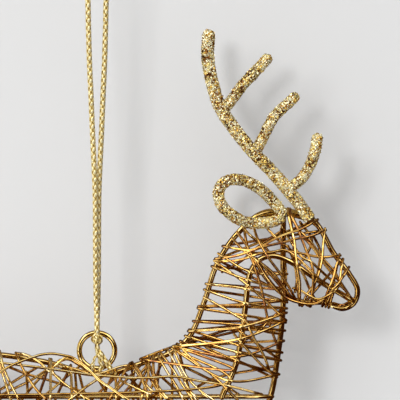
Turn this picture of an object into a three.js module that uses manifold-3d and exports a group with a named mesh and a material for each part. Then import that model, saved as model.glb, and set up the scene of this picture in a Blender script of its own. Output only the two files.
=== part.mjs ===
// Wire reindeer ornament: a welded frame of rods wound with thin wire, with glitter-coated antlers
// and ears, hung by a braided cord that is tied through a ring on its back.
// Millimetres, +Z up, the deer faces +X, and the origin is the top of the cord loop.

import * as THREE from 'three';
import { mergeVertices } from 'three/addons/utils/BufferGeometryUtils.js';
import Module from 'manifold-3d';

const wasm = await Module();
wasm.setup();

// Size of the figure. The outlines below are drawn in millimetres for a deer of drawnHeight.
const figureHeight = 155; // hoof to antler tip
const drawnHeight = 155;
const share = figureHeight / drawnHeight;

// Gauges of the rods and wires
const frameRod = 1.4;
const windingWire = 0.7;
const antlerBeam = 3.1;
const antlerTine = 2.6;
const earRod = 2.75;

// Hanging ring and cord
const ringOutside = 10.2;
const ringWire = 1.35;
const cordThickness = 1.5;
const knotWidth = 2.9;
const knotHeight = 1.7;
const knotDepth = 3.8;
const loopHeight = 97.6; // ring centre to the top of the cord loop

// Widths across the figure
const bodyWidth = 16.8; // hoop, rod centre to rod centre
const cheekWidth = 11.2;
const muzzleWidth = 1.6;
const bellyWidth = 10;
const hoofSpread = 13;
const antlerSplay = 12; // degrees outwards
const earSplay = 27;

// Clearances
const weldGap = 0.06; // between a rod and the piece welded on it
const windingGap = 0.14; // between a rod and the wire wound over it

// Turns of the windings
const bodyTurns = 18;
const neckTurns = 10;
const headTurns = 12;
const legTurns = 8;

const rodRadius = frameRod / 2;
const wireRadius = windingWire / 2;
const ringRadius = (ringOutside - ringWire) / 2;

// The back rod runs under the ring, so the whole figure hangs from this height.
const drawnSaddle = -5.85;
const saddle = -(ringOutside / 2 + rodRadius + weldGap);

// Drawn heights of the legs: their soles, and the first and last turns of their windings
const drawnSole = -75.2;
const drawnWindingTop = -27;
const drawnWindingFoot = -69;
const legStub = 2; // straight run of a leg below its weld

// A drawn place (x forward, z up from the ring's centre, y across) at its real size
function deer(x, z, y = 0) {
  return new THREE.Vector3(share * x, y, saddle + share * (z - drawnSaddle));
}

// Materials
const goldRod = new THREE.MeshStandardMaterial({ color: '#a8782c', metalness: 1, roughness: 0.3 });
const goldWire = new THREE.MeshStandardMaterial({ color: '#c2933a', metalness: 1, roughness: 0.28 });
const brightRing = new THREE.MeshStandardMaterial({ color: '#c79a45', metalness: 1, roughness: 0.2 });
const glitter = new THREE.MeshStandardMaterial({ color: '#c8b383', metalness: 0.7, roughness: 0.5 });
const goldBraid = new THREE.MeshStandardMaterial({ color: '#c8b27a', metalness: 0.6, roughness: 0.45 });

// A path with a corner at each of its points. Its samples are the points themselves, and the
// direction at a corner halves the turn.
class CornerPath extends THREE.Curve {
  constructor(points) {
    super();
    this.points = points;
  }

  getPoint(t, target = new THREE.Vector3()) {
    const last = this.points.length - 1;
    const at = Math.min(last, Math.max(0, t * last));
    const low = Math.min(last - 1, Math.floor(at + 1e-9));
    return target.lerpVectors(this.points[low], this.points[low + 1], at - low);
  }

  getPointAt(u, target) {
    return this.getPoint(u, target);
  }

  getTangentAt(u, target = new THREE.Vector3()) {
    const last = this.points.length - 1;
    const at = Math.round(u * last);
    const before = this.points[Math.max(0, at - 1)];
    const here = this.points[at];
    const after = this.points[Math.min(last, at + 1)];
    const arriving = here.clone().sub(before).normalize();
    const leaving = after.clone().sub(here).normalize();
    return target.copy(arriving).add(leaving).normalize();
  }
}

// A regular section with the area of a round one of the same radius
function section(radius, sides) {
  const corner = radius * Math.sqrt((2 * Math.PI) / (sides * Math.sin((2 * Math.PI) / sides)));
  const shape = new THREE.Shape();
  for (let i = 0; i < sides; i += 1) {
    const angle = (2 * Math.PI * (i + 0.5)) / sides;
    const place = [corner * Math.cos(angle), corner * Math.sin(angle)];
    if (i === 0) {
      shape.moveTo(...place);
    } else {
      shape.lineTo(...place);
    }
  }
  shape.closePath();
  return shape;
}

// A round bar along a path, open from end to end
function bar(path, radius, steps, sides = 6) {
  return new THREE.ExtrudeGeometry(section(radius, sides), { steps, extrudePath: path });
}

// A bar with a corner at every point of a list
function bentBar(points, radius, sides = 4) {
  return bar(new CornerPath(points), radius, points.length - 1, sides);
}

// A bar whose path closes on itself has no ends to cap.
function closedBar(path, radius, steps, sides = 6) {
  return new THREE.TubeGeometry(path, steps, radius, sides, true);
}

function smooth(points, closed = false) {
  return new THREE.CatmullRomCurve3(points, closed, 'centripetal');
}

function solid(geometry) {
  const bare = geometry.clone();
  bare.deleteAttribute('normal');
  bare.deleteAttribute('uv');
  const merged = mergeVertices(bare, 1e-4);
  const vertProperties = new Float32Array(merged.attributes.position.array);
  const triVerts = new Uint32Array(merged.index.array);
  return new wasm.Manifold(new wasm.Mesh({ numProp: 3, vertProperties, triVerts }));
}

// Several bars welded into one body
function welded(geometries) {
  let body = solid(geometries[0]);
  for (const geometry of geometries.slice(1)) {
    body = body.add(solid(geometry));
  }
  const mesh = body.getMesh();
  const result = new THREE.BufferGeometry();
  result.setAttribute('position', new THREE.BufferAttribute(new Float32Array(mesh.vertProperties), 3));
  result.setIndex(new THREE.BufferAttribute(new Uint32Array(mesh.triVerts), 1));
  return result;
}

// Level hoop round the body: a long oval with full sides
const hoopHeight = -11.5;
const hoopFront = 43.9;
const hoopBack = -45.1;
const hoopFullness = 4;

function hoopPoint(angle) {
  const power = 2 / hoopFullness;
  const along = Math.sign(Math.cos(angle)) * Math.abs(Math.cos(angle)) ** power;
  const across = Math.sign(Math.sin(angle)) * Math.abs(Math.sin(angle)) ** power;
  const middle = (hoopFront + hoopBack) / 2;
  const reach = (hoopFront - hoopBack) / 2;
  return deer(middle + reach * along, hoopHeight, (bodyWidth / 2) * across);
}

// Half the hoop's width at a drawn x
function hoopHalfWidth(x) {
  const middle = (hoopFront + hoopBack) / 2;
  const reach = (hoopFront - hoopBack) / 2;
  const along = Math.abs((x - middle) / reach);
  return (bodyWidth / 2) * (1 - along ** hoopFullness) ** (1 / hoopFullness);
}

const hoopSamples = 64;
const hoop = smooth(
  Array.from({ length: hoopSamples }, (_, i) => hoopPoint((2 * Math.PI * i) / hoopSamples)),
  true,
);

// Outline rod, in the middle plane: croup, back, neck, poll, forehead, muzzle and jaw
const outlineRod = smooth([
  deer(-45.9, -9), deer(-44.9, -4.9), deer(-41, -1.8), deer(-34, -0.6), deer(-24, -1.1), deer(-11, -3.3),
  deer(-4, -5.4), deer(0, drawnSaddle), deer(4.5, -5.55), deer(10, -3.6), deer(19, -0.2), deer(23.2, 3.6),
  deer(26.8, 12.1), deer(30, 21.6), deer(35, 29.9), deer(40.6, 34.7), deer(44.5, 34.9), deer(49, 34.3),
  deer(54.5, 32), deer(59, 24.6), deer(63.2, 18.9), deer(65.1, 15.2), deer(64.3, 12), deer(61.5, 10.5),
  deer(57, 12), deer(51.5, 12.1), deer(46.6, 13.6),
]);

// Chest rods: a pair from the poll down the throat and chest and back along the belly to the croup
const pairGap = 0.1 + frameRod; // the pair lies side by side at the throat
function chestRod(side) {
  const throat = (side * pairGap) / 2;
  const belly = (side * bellyWidth) / 2;
  return smooth([
    deer(46.6, 34.6, throat), deer(46.5, 22.4, throat), deer(46.6, 13.4, throat),
    deer(46.1, 5.6, throat + 0.05 * belly), deer(45.1, -1.9, throat + 0.15 * belly),
    deer(43.6, -10.6, throat + 0.4 * belly), deer(41.2, -16.6, 0.75 * belly),
    deer(35.5, -20.6, 0.95 * belly),
    deer(26, -21.8, belly), deer(0, -20.8, belly), deer(-26, -20.3, belly), deer(-37, -19.4, 0.95 * belly),
    deer(-42.4, -16.2, 0.65 * belly), deer(-44.9, -11.5, throat + 0.2 * belly), deer(-45.6, -7, throat),
  ]);
}

// Side rods: one on each side, from the hoop up the neck, over the cheek and down to the muzzle
const sideRodFoot = 31.25;
function sideRod(side) {
  const hip = side * hoopHalfWidth(sideRodFoot);
  const cheek = (side * cheekWidth) / 2;
  const muzzle = (side * muzzleWidth) / 2;
  const between = (part) => hip + (cheek - hip) * part;
  return smooth([
    deer(sideRodFoot, hoopHeight, hip), deer(34.6, -3.75, between(0.1)), deer(36.2, 4.2, between(0.35)),
    deer(37.2, 11.8, between(0.7)), deer(38.2, 19, between(0.95)), deer(40.6, 22.7, cheek),
    deer(44, 23.7, cheek), deer(48.1, 22.3, 0.98 * cheek), deer(55.7, 17.3, 0.75 * cheek),
    deer(63.8, 12.6, muzzle),
  ]);
}

// Short tail: a flat loop behind the croup
const tailRod = smooth([
  deer(-44.2, -3.9), deer(-47.4, -1.6), deer(-49.9, -2.6), deer(-49.4, -5.4), deer(-45.8, -8.6),
]);

const chestLeft = chestRod(1);
const chestRight = chestRod(-1);
const sideLeft = sideRod(1);
const sideRight = sideRod(-1);

function wireFrame() {
  return welded([
    bar(outlineRod, rodRadius, 48),
    bar(chestLeft, rodRadius, 28),
    bar(chestRight, rodRadius, 28),
    bar(sideLeft, rodRadius, 16),
    bar(sideRight, rodRadius, 16),
    closedBar(hoop, rodRadius, 28),
    bar(tailRod, rodRadius, 7),
  ]);
}

// The share of a curve's length at which it comes nearest to a place
function nearest(curve, place) {
  const samples = 600;
  let best = 0;
  let bestDistance = Infinity;
  for (let i = 0; i <= samples; i += 1) {
    const distance = curve.getPointAt(i / samples).distanceTo(place);
    if (distance < bestDistance) {
      bestDistance = distance;
      best = i / samples;
    }
  }
  return best;
}

// One rod that a winding passes over, and the stretch of it that the winding covers. The turns
// leave the part between skip.from and skip.to free.
function stretch(curve, from, to, skip = [from, from]) {
  return {
    curve,
    from: nearest(curve, from),
    to: nearest(curve, to),
    skipFrom: nearest(curve, skip[0]),
    skipTo: nearest(curve, skip[1]),
  };
}

// Where on its curve a stretch is crossed when the winding has done this part of its turns
function crossingAt(rod, part) {
  const free = rod.skipTo - rod.skipFrom;
  const at = THREE.MathUtils.lerp(rod.from, rod.to - free, part);
  return free !== 0 && at > rod.skipFrom ? at + free : at;
}

// The part of a direction that lies across a rod
function across(direction, along) {
  return direction.clone().addScaledVector(along, -direction.dot(along)).normalize();
}

// A wire wound taut over a set of rods, taken in order round the figure. It runs straight from
// rod to rod and turns only where it bears on one, outside it by both radii and a clearance.
// A turn of more than sharpTurn takes two corners.
const sharpTurn = THREE.MathUtils.degToRad(76);
function winding(rods, turns) {
  const bare = [];
  const tangents = [];
  for (let i = 0; i <= turns * rods.length; i += 1) {
    const rod = rods[i % rods.length];
    const at = crossingAt(rod, i / (turns * rods.length));
    bare.push(rod.curve.getPointAt(at));
    tangents.push(rod.curve.getTangentAt(at));
  }
  const bearing = rodRadius + wireRadius + windingGap;
  const points = [];
  for (let i = 1; i < bare.length - 1; i += 1) {
    const arriving = across(bare[i].clone().sub(bare[i - 1]), tangents[i]);
    const leaving = across(bare[i + 1].clone().sub(bare[i]), tangents[i]);
    const outwards = arriving.clone().sub(leaving).normalize();
    const halfTurn = arriving.angleTo(leaving) / 2;
    if (halfTurn * 2 < sharpTurn) {
      points.push(bare[i].clone().addScaledVector(outwards, bearing / Math.cos(halfTurn)));
    } else {
      for (const span of [arriving, leaving]) {
        const corner = across(outwards, span).add(outwards).normalize();
        points.push(bare[i].clone().addScaledVector(corner, bearing / Math.cos(halfTurn / 2)));
      }
    }
  }
  return points;
}

// The turns of the body stay clear of the ring's foot on the back rod, and leave the ends of the
// belly rods to the outer welds of the legs.
const bellyLine = -20.5;
const windingRise = 2 * wireRadius + 2 * windingGap;
const footReach = Math.sqrt(ringOutside * windingRise) + windingWire;
const bodyRods = [
  stretch(outlineRod, deer(-41, -1.8), deer(21, 1.4), [deer(-footReach, -5.2), deer(footReach, -5.2)]),
  stretch(hoop, deer(-42, hoopHeight, bodyWidth / 2), deer(29.6, hoopHeight, bodyWidth / 2)),
  stretch(chestLeft, deer(-39.6, -18.4), deer(37.8, -19.6)),
  stretch(chestRight, deer(-39.6, -18.4), deer(37.8, -19.6)),
  stretch(hoop, deer(-42, hoopHeight, -bodyWidth / 2), deer(29.6, hoopHeight, -bodyWidth / 2)),
];
const bodyWinding = winding(bodyRods, bodyTurns);

const neckWinding = winding([
  stretch(outlineRod, deer(22.5, 3), deer(30.2, 22)),
  stretch(sideLeft, deer(34.4, -4), deer(37.6, 16)),
  stretch(chestLeft, deer(43.6, -10), deer(46.5, 11.2)),
  stretch(chestRight, deer(43.6, -10), deer(46.5, 11.2)),
  stretch(sideRight, deer(34.4, -4), deer(37.6, 16)),
], neckTurns);

// The turns of the head leave the poll free, where the ears and antlers are welded.
const headWinding = winding([
  stretch(outlineRod, deer(31.4, 25), deer(64, 17.4), [deer(40.4, 34.6), deer(56, 30.4)]),
  stretch(sideLeft, deer(38.4, 19.6), deer(61, 14.2)),
  stretch(outlineRod, deer(49.8, 12.5), deer(61.5, 10.5)),
  stretch(sideRight, deer(38.4, 19.6), deer(61, 14.2)),
], headTurns);

// Legs: one rod bent into a long narrow loop, welded at both ends under a belly rod
const hoofReach = hoofSpread / 2;
const foreleg = {
  front: 39.8,
  back: 27.6,
  down: [[38.4, -30], [36.9, -39], [36.5, -46], [35.9, -57], [35.7, -67]],
  hoof: [[37.3, -74.2], [35.2, drawnSole], [33.3, -72.6]],
  up: [[33.4, -66], [33.5, -56], [33.0, -46], [31.4, -37], [29, -29]],
};
const hindleg = {
  front: -27.4,
  back: -42,
  down: [[-30.6, -30], [-36, -38], [-39.6, -44], [-40.2, -51], [-39.6, -60], [-38.8, -68]],
  hoof: [[-37.2, -74.2], [-39.4, drawnSole], [-41.4, -72.6]],
  up: [[-42, -65], [-42.8, -56], [-44.6, -47.5], [-44.6, -42], [-43.4, -34], [-42.4, -27]],
};

// The place on a belly rod, near a drawn x, that lies halfway between two turns of the body
// winding, or at that x where the winding doesn't reach
function betweenTurns(side, x) {
  const order = side > 0 ? 2 : 3;
  const rod = bodyRods[order];
  const wanted = deer(x, 0).x;
  const placeAt = (turn) => crossingAt(rod, (turn + order / bodyRods.length) / bodyTurns);
  const xAt = (turn) => rod.curve.getPointAt(placeAt(turn)).x;
  const pitch = (xAt(bodyTurns - 1) - xAt(0)) / (bodyTurns - 1);
  const turn = (wanted - xAt(0)) / pitch;
  if (turn < -0.5 || turn > bodyTurns - 0.5) {
    return nearest(rod.curve, deer(x, bellyLine, rod.curve.getPointAt(rod.from).y));
  }
  return placeAt(Math.floor(turn) + 0.5);
}

// The weld of a leg under a belly rod, and a place below it along the rod's normal
function weldUnder(side, x) {
  const rod = side > 0 ? chestLeft : chestRight;
  const at = betweenTurns(side, x);
  const down = across(new THREE.Vector3(0, 0, -1), rod.getTangentAt(at));
  const weld = rod.getPointAt(at).addScaledVector(down, frameRod * 0.62 + weldGap);
  return [weld, weld.clone().addScaledVector(down, legStub)];
}

function legCurve(leg, side) {
  const [frontTop, frontBelow] = weldUnder(side, leg.front);
  const [backTop, backBelow] = weldUnder(side, leg.back);
  const topZ = frontTop.z;
  const soleZ = deer(0, drawnSole).z;
  const spread = (z) => THREE.MathUtils.mapLinear(z, topZ, soleZ, frontTop.y, side * hoofReach);
  const drawn = [...leg.down, ...leg.hoof, ...leg.up].map(([x, z]) => {
    const place = deer(x, z);
    place.y = spread(place.z);
    return place;
  });
  return smooth([frontTop, frontBelow, ...drawn, backBelow, backTop]);
}

// Winding of a leg: turns round both lines of its loop, from below the belly to above the hoof
function legWinding(leg, side) {
  const curve = legCurve(leg, side);
  const y = side * hoofReach;
  const top = (x) => deer(x, drawnWindingTop, y);
  const foot = (x) => deer(x, drawnWindingFoot, y);
  const front = stretch(curve, top(leg.down[0][0]), foot(leg.down.at(-1)[0]));
  const back = stretch(curve, top(leg.up.at(-1)[0]), foot(leg.up[0][0]));
  const bearing = rodRadius + wireRadius + windingGap;
  const forward = Math.sign(front.curve.getPointAt(front.from).x - back.curve.getPointAt(back.from).x);
  const corners = [
    [front, forward, 1], [front, forward, -1], [back, -forward, -1], [back, -forward, 1],
  ];
  const points = [];
  for (let i = 0; i < legTurns * corners.length; i += 1) {
    const [line, out, sideways] = corners[i % corners.length];
    const part = i / (legTurns * corners.length - 1);
    const place = line.curve.getPointAt(THREE.MathUtils.lerp(line.from, line.to, part));
    points.push(place.add(new THREE.Vector3(out * bearing * 1.12, sideways * bearing * 1.12, 0)));
  }
  return points;
}

// Antlers: drawn flat from the base upwards, then splayed about the base
const beamLine = [
  [53.1, 33.05], [49.5, 38], [44.7, 43.7], [38.8, 49.9], [33, 57.2], [30.5, 61.5], [28.4, 68.6],
  [27.7, 73.5], [27.95, 79.3],
];
const tineLines = [
  [[31.6, 60.2], [34, 63.1], [36.2, 66.1], [39.5, 69.6], [43.2, 73.6]],
  [[39.6, 49.4], [41.6, 53.4], [44.4, 58.6], [47.8, 61.8], [50, 64]],
  [[47.2, 40.4], [50.5, 42.3], [53.2, 46.2], [54.7, 50.6], [55.1, 53.4]],
];
const splayRise = Math.tan(THREE.MathUtils.degToRad(antlerSplay));

function antler(side) {
  const [baseX, baseZ] = beamLine[0];
  const base = deer(baseX, baseZ);
  const stand = rodRadius + antlerBeam / 2 + weldGap;
  const placed = ([x, z]) => {
    const place = deer(x, z);
    place.y = side * (stand + splayRise * (place.z - base.z));
    return place;
  };
  const beam = smooth(beamLine.map(placed));
  const tines = tineLines.map((line) => smooth(line.map(placed)));
  const tips = [beam, ...tines].map((curve, i) => {
    const radius = (i === 0 ? antlerBeam : antlerTine) / 2;
    const tip = curve.getPointAt(1);
    return new THREE.SphereGeometry(radius, 6, 4).translate(tip.x, tip.y, tip.z);
  });
  return welded([
    bar(beam, antlerBeam / 2, 14, 6),
    ...tines.map((curve) => bar(curve, antlerTine / 2, 4, 6)),
    ...tips,
  ]);
}

// Ears: a pointed loop of rod laid back from the poll and splayed about its root
const earLine = [
  [46.2, 33.8], [42.6, 38.8], [39.4, 41.3], [36.6, 42.5], [33.4, 42.7], [31.3, 41.6], [30.4, 39.9],
  [30.6, 37.7], [31.8, 35.5], [33.7, 33.9], [35.8, 32.6], [38.2, 31.9], [41.4, 31.9], [44.2, 32.3],
];

function ear(side) {
  const root = deer(...earLine[0]);
  const stand = pairGap / 2 + rodRadius + earRod / 2 + weldGap;
  const rise = Math.tan(THREE.MathUtils.degToRad(earSplay));
  const placed = ([x, z]) => {
    const place = deer(x, z);
    place.y = side * (stand + rise * (root.x - place.x));
    return place;
  };
  return closedBar(smooth(earLine.map(placed), true), earRod / 2, 19, 6);
}

// Hanging ring: it stands on the back rod, in the middle plane
function hangingRing() {
  return new THREE.TorusGeometry(ringRadius, ringWire / 2, 6, 20).rotateX(Math.PI / 2);
}

// Hanging cord, from the knot up in front of the ring, over the top of the loop and down behind it.
// Each point is x, y, z in millimetres from the ring's centre.
const cordRoute = [
  [0, -1.5, 3.75], [0, -1.62, 5.2], [0, -1.3, 7.4], [-0.13, -0.9, 10.9], [-0.28, -0.76, 17],
  [-0.34, -0.73, 24],
  [-0.44, -0.68, 39], [-0.72, -0.42, 46], [-1.17, -0.2, 55.6], [-1.52, -0.08, 64], [-1.87, 0, 71.6],
  [-2.12, 0, 80], [-2.3, 0, 87.6], [-2.62, 0, 91.4], [-2.9, 0, 94], [-2.6, 0, 95.9], [-1.5, 0, 97.15],
  [0, 0, loopHeight], [1.5, 0, 97.15], [2.6, 0, 95.9], [2.9, 0, 94], [2.62, 0, 91.4], [2.3, 0, 87.6],
  [2.12, 0, 80], [1.87, 0, 71.6], [1.52, 0.08, 64], [1.17, 0.2, 55.6], [0.72, 0.42, 46], [0.44, 0.68, 39],
  [0.34, 0.73, 24], [0.28, 0.76, 17], [0.13, 0.9, 10.9], [0, 1.3, 7.4], [0, 1.62, 5.2], [0, 1.5, 3.75],
];
const cordSteps = 46;

function hangingCord() {
  const route = cordRoute.map(([x, y, z]) => new THREE.Vector3(x, y, z));
  return bar(smooth(route), cordThickness / 2, cordSteps, 8);
}

// The knot under the ring's top, with two short tails that hang in front of the ring
const knotDrop = 2.62; // ring centre up to the knot's centre
const tailRadius = cordThickness * 0.36;
const cordTails = [
  [[-0.4, -1, 2.2], [0.1, -1.7, 0.8], [0.2, -1.95, -0.6], [-0.7, -2.1, -2.4], [-1.45, -2.2, -4]],
  [[0.4, -1, 2.2], [0.5, -1.75, 0.9], [1.1, -2, -0.8], [2.1, -2.1, -2.6], [3.5, -2.3, -4.2]],
];

function cordKnot() {
  const ball = new THREE.SphereGeometry(0.5, 8, 6).scale(knotWidth, knotDepth, knotHeight);
  ball.translate(0, 0, knotDrop);
  const tails = cordTails.map((line) => {
    const route = smooth(line.map(([x, y, z]) => new THREE.Vector3(x, y, z)));
    return bar(route, tailRadius, 5, 6);
  });
  return welded([ball, ...tails]);
}

// Assembly
const ornament = new THREE.Group();
ornament.position.z = -loopHeight;

function place(name, geometry, material) {
  const mesh = new THREE.Mesh(geometry, material.clone());
  mesh.name = name;
  ornament.add(mesh);
}

place('wire_frame', wireFrame(), goldRod);
place('body_winding', bentBar(bodyWinding, wireRadius), goldWire);
place('neck_winding', bentBar(neckWinding, wireRadius), goldWire);
place('head_winding', bentBar(headWinding, wireRadius), goldWire);

for (const [sideName, side] of [['left', 1], ['right', -1]]) {
  for (const [legName, leg] of [['foreleg', foreleg], ['hindleg', hindleg]]) {
    place(`${legName}_${sideName}`, bar(legCurve(leg, side), rodRadius, 24), goldRod);
    place(`${legName}_winding_${sideName}`, bentBar(legWinding(leg, side), wireRadius), goldWire);
  }
  place(`antler_${sideName}`, antler(side), glitter);
  place(`ear_${sideName}`, ear(side), glitter);
}

place('hanging_ring', hangingRing(), brightRing);
place('hanging_cord', hangingCord(), goldBraid);
place('cord_knot', cordKnot(), goldBraid);

const group = new THREE.Group();
group.add(ornament);

export default group;
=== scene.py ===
# %% [markdown]
# A reindeer of wound wire, hung from a braided cord.
# The real ornament is a deer about eleven centimetres long. Thick gold-coloured rods are bent and
# welded into the figure, long thin wires are wound round them, the antlers and ears wear a coat of
# coarse glitter, and a cord is tied through a ring on the back. Every wire here is a true tube,
# because a wound figure is mostly gaps, and light has to pass through it as it does on the real one.

import bpy
import numpy as np
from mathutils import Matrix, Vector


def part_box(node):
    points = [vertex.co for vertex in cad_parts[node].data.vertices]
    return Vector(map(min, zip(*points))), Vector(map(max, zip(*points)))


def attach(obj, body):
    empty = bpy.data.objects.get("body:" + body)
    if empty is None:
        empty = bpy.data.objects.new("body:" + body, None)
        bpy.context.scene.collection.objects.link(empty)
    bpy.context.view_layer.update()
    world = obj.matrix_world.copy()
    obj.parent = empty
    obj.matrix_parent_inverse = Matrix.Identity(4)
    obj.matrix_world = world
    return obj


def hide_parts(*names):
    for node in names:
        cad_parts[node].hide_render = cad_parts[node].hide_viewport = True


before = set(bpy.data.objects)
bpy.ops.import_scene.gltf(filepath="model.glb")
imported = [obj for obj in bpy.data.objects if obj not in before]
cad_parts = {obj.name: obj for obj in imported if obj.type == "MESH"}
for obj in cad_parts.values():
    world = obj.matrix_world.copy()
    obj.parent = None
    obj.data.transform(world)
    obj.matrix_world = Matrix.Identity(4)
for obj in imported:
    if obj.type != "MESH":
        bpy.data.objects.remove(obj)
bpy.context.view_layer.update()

# %% [markdown]
# Lengths are in millimetres and every shape is drawn from the centre of the hanging ring, with x
# towards the nose, y to the deer's left and z up. The frame says where that centre is, so the shapes
# follow the solids. Places read off the picture are given in its pixels and turned into millimetres
# by one scale, which keeps both kinds of number readable.

# %% Sizes
MM = 0.001
ring_low, ring_high = (np.array(corner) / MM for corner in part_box("hanging_ring"))
ring_centre = (ring_low + ring_high) / 2
ring_outside = ring_high[2] - ring_low[2]
frame_rod = 1.4
winding_wire = 0.7
ring_wire = 1.35
antler_beam = 3.1
antler_tine = 2.6
ear_rod = 2.75
cord_thickness = 1.5
body_width = 16.8
belly_width = 10.0
cheek_width = 11.2
hoof_spread = 13.0
weld_gap = 0.06
rod_radius = frame_rod / 2
wire_radius = winding_wire / 2
PIXEL = 0.25
PICTURE = 400
RING_PIXEL = np.array([97.0, 350.5])


def from_pixels(route):
    """x = (column - the ring's column) times the pixel, z = (the ring's row - row) times the pixel."""
    route = np.asarray(route, float) - RING_PIXEL
    return route * [PIXEL, -PIXEL]


print("ring centre", ring_centre.round(3), "outside", round(float(ring_outside), 2))

# %% [markdown]
# The picture is a product shot taken square to the deer's right side from far away, so lines that
# run away from us don't converge. A long lens far off gives that look. The picture's middle is a
# known place on the deer, and its width is its pixels times the scale.

# %% Camera
lens = 800.0
sensor = 36.0
picture_width = PICTURE * PIXEL
camera_distance = picture_width * lens / sensor
middle_x, middle_z = from_pixels([PICTURE / 2, PICTURE / 2])
camera_data = bpy.data.cameras.new("picture_camera")
camera_data.lens = lens
camera_data.sensor_fit = "HORIZONTAL"
camera_data.sensor_width = sensor
camera_data.clip_start = 0.1
camera_data.clip_end = 20
camera = bpy.data.objects.new("picture_camera", camera_data)
camera.location = (ring_centre + [middle_x, -camera_distance, middle_z]) * MM
camera.rotation_euler = (np.pi / 2, 0, 0)
bpy.context.scene.collection.objects.link(camera)
bpy.context.scene.camera = camera
print("camera", [round(v, 4) for v in camera.location], "sees", picture_width, "mm")

# %% [markdown]
# A rod, a wire and a cord are all a round section carried along a line. The line is a smooth curve
# through a few chosen points. The section needs a direction that never lies along the line, to stay
# untwisted: the middle plane's normal does for flat pieces, and the way out of the cage for windings.


# %% Lines
SPAN_POINTS = 24


def even_steps(path, step):
    """The same line with points at equal steps of its own length."""
    length = np.r_[0, np.cumsum(np.linalg.norm(np.diff(path, axis=0), axis=1))]
    at = np.linspace(0, length[-1], max(3, int(round(length[-1] / step)) + 1))
    return np.stack([np.interp(at, length, column) for column in path.T], axis=1)


def smooth_line(points, step=0.5, closed=False):
    """A cubic between each two points. Its end slopes are weighted by the square roots of the
    distances to the next points, so close points don't make it overshoot."""
    p = np.asarray(points, float)
    before, after = (p[-1:], p[:2]) if closed else (2 * p[:1] - p[1:2], 2 * p[-1:] - p[-2:-1])
    p = np.vstack([before, p, after])
    gap = np.sqrt(np.linalg.norm(np.diff(p, axis=0), axis=1))[:, None]
    a, b, c, d = p[:-3], p[1:-2], p[2:-1], p[3:]
    before, here, after = gap[:-2], gap[1:-1], gap[2:]
    leave = ((b - a) / before - (c - a) / (before + here) + (c - b) / here) * here
    arrive = ((c - b) / here - (d - b) / (here + after) + (d - c) / after) * here
    t = np.linspace(0, 1, SPAN_POINTS, endpoint=False)[None, :, None]
    spans = (
        b[:, None] * (2 * t**3 - 3 * t**2 + 1)
        + leave[:, None] * (t**3 - 2 * t**2 + t)
        + c[:, None] * (3 * t**2 - 2 * t**3)
        + arrive[:, None] * (t**3 - t**2)
    )
    line = np.vstack([spans.reshape(-1, p.shape[1]), p[-2:-1]])
    line = even_steps(line, step)
    return line[:-1] if closed else line


def unit(v):
    """Each vector divided by its length."""
    return v / np.maximum(np.linalg.norm(v, axis=-1, keepdims=True), 1e-9)


def tangents(path, closed=False):
    """The direction from the point before to the point after."""
    if closed:
        return unit(np.roll(path, -1, axis=0) - np.roll(path, 1, axis=0))
    return unit(np.gradient(path, axis=0))


# %% [markdown]
# A tube is a grid of points, with a ring of them round each point of the line. A curve with a bevel
# would make one too. A mesh is chosen because each of its points can carry numbers for the materials,
# such as its wire's tone, and because a relief can be added to its radius. The ends are small domes,
# since a cut wire isn't hollow.

# %% Round sections carried along a line
NO_TRIANGLES = np.zeros((0, 3), int)
END_TURN = np.radians([84.0, 58.0, 30.0])


def shell(points, quads, tone, along, triangles=NO_TRIANGLES, faceted=False):
    """A closed surface: its points, its faces with four and with three corners, whether they are
    flat facets, and two numbers at each point that the materials read, the tone of its wire and how
    far along the wire it lies."""
    tone = np.broadcast_to(np.asarray(tone, float), len(points))
    return {
        "points": points, "quads": quads, "triangles": triangles,
        "faceted": faceted, "tone": tone, "along": along,
    }


def ring_quads(rings, sides, closed):
    """Faces between each ring of points and the next, and flat strips over both ends."""
    row = np.arange(rings if closed else rings - 1)[:, None] * sides
    next_row = (row + sides) % (rings * sides)
    side = np.arange(sides)[None, :]
    next_side = (side + 1) % sides
    body = np.stack([row + side, row + next_side, next_row + next_side, next_row + side], axis=-1)
    body = body.reshape(-1, 4)
    if closed:
        return body
    k = np.arange(sides // 2 - 1)
    strip = np.stack([k, k + 1, sides - 2 - k, sides - 1 - k], axis=-1)
    return np.vstack([body, strip[:, ::-1], strip + (rings - 1) * sides])


def with_end_rings(values):
    """The first and the last value, repeated for the rings of the two rounded ends."""
    first, last = (np.repeat(end, len(END_TURN), axis=0) for end in (values[:1], values[-1:]))
    return np.concatenate([first, values, last])


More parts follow.
